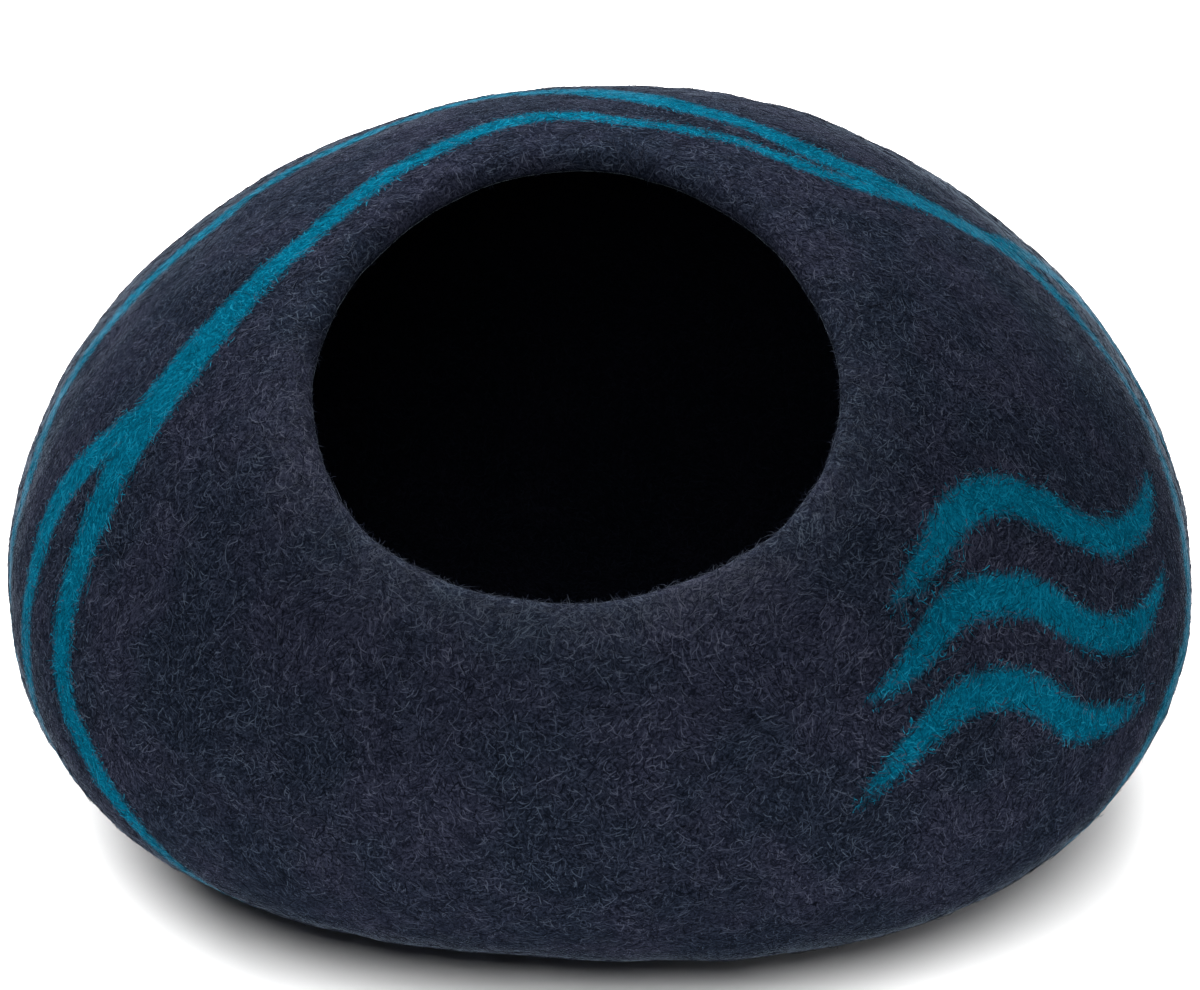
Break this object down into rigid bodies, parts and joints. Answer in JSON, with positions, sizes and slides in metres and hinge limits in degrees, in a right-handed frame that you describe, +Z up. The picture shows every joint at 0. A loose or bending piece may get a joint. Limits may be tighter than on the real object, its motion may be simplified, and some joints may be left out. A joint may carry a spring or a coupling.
{
  "type": "wool felt pet cave",
  "caption": "Seamless wool felt shell, rounded and hollow, with a round mouth in its upper front and a soft flat sole.",
  "frame": {"origin": "on the floor, under the middle of the shell's box", "axes": "+Z up, -Y the front that the mouth faces, +X to the right when the mouth is looked at from the front"},
  "size_m": [0.4996, 0.4692, 0.298],
  "materials": {
    "felt": "matte, heathered navy wool with teal wool lines felted in"
  },
  "bodies": {
    "root": {"felt_shell": "felt"}
  },
  "joints": []
}
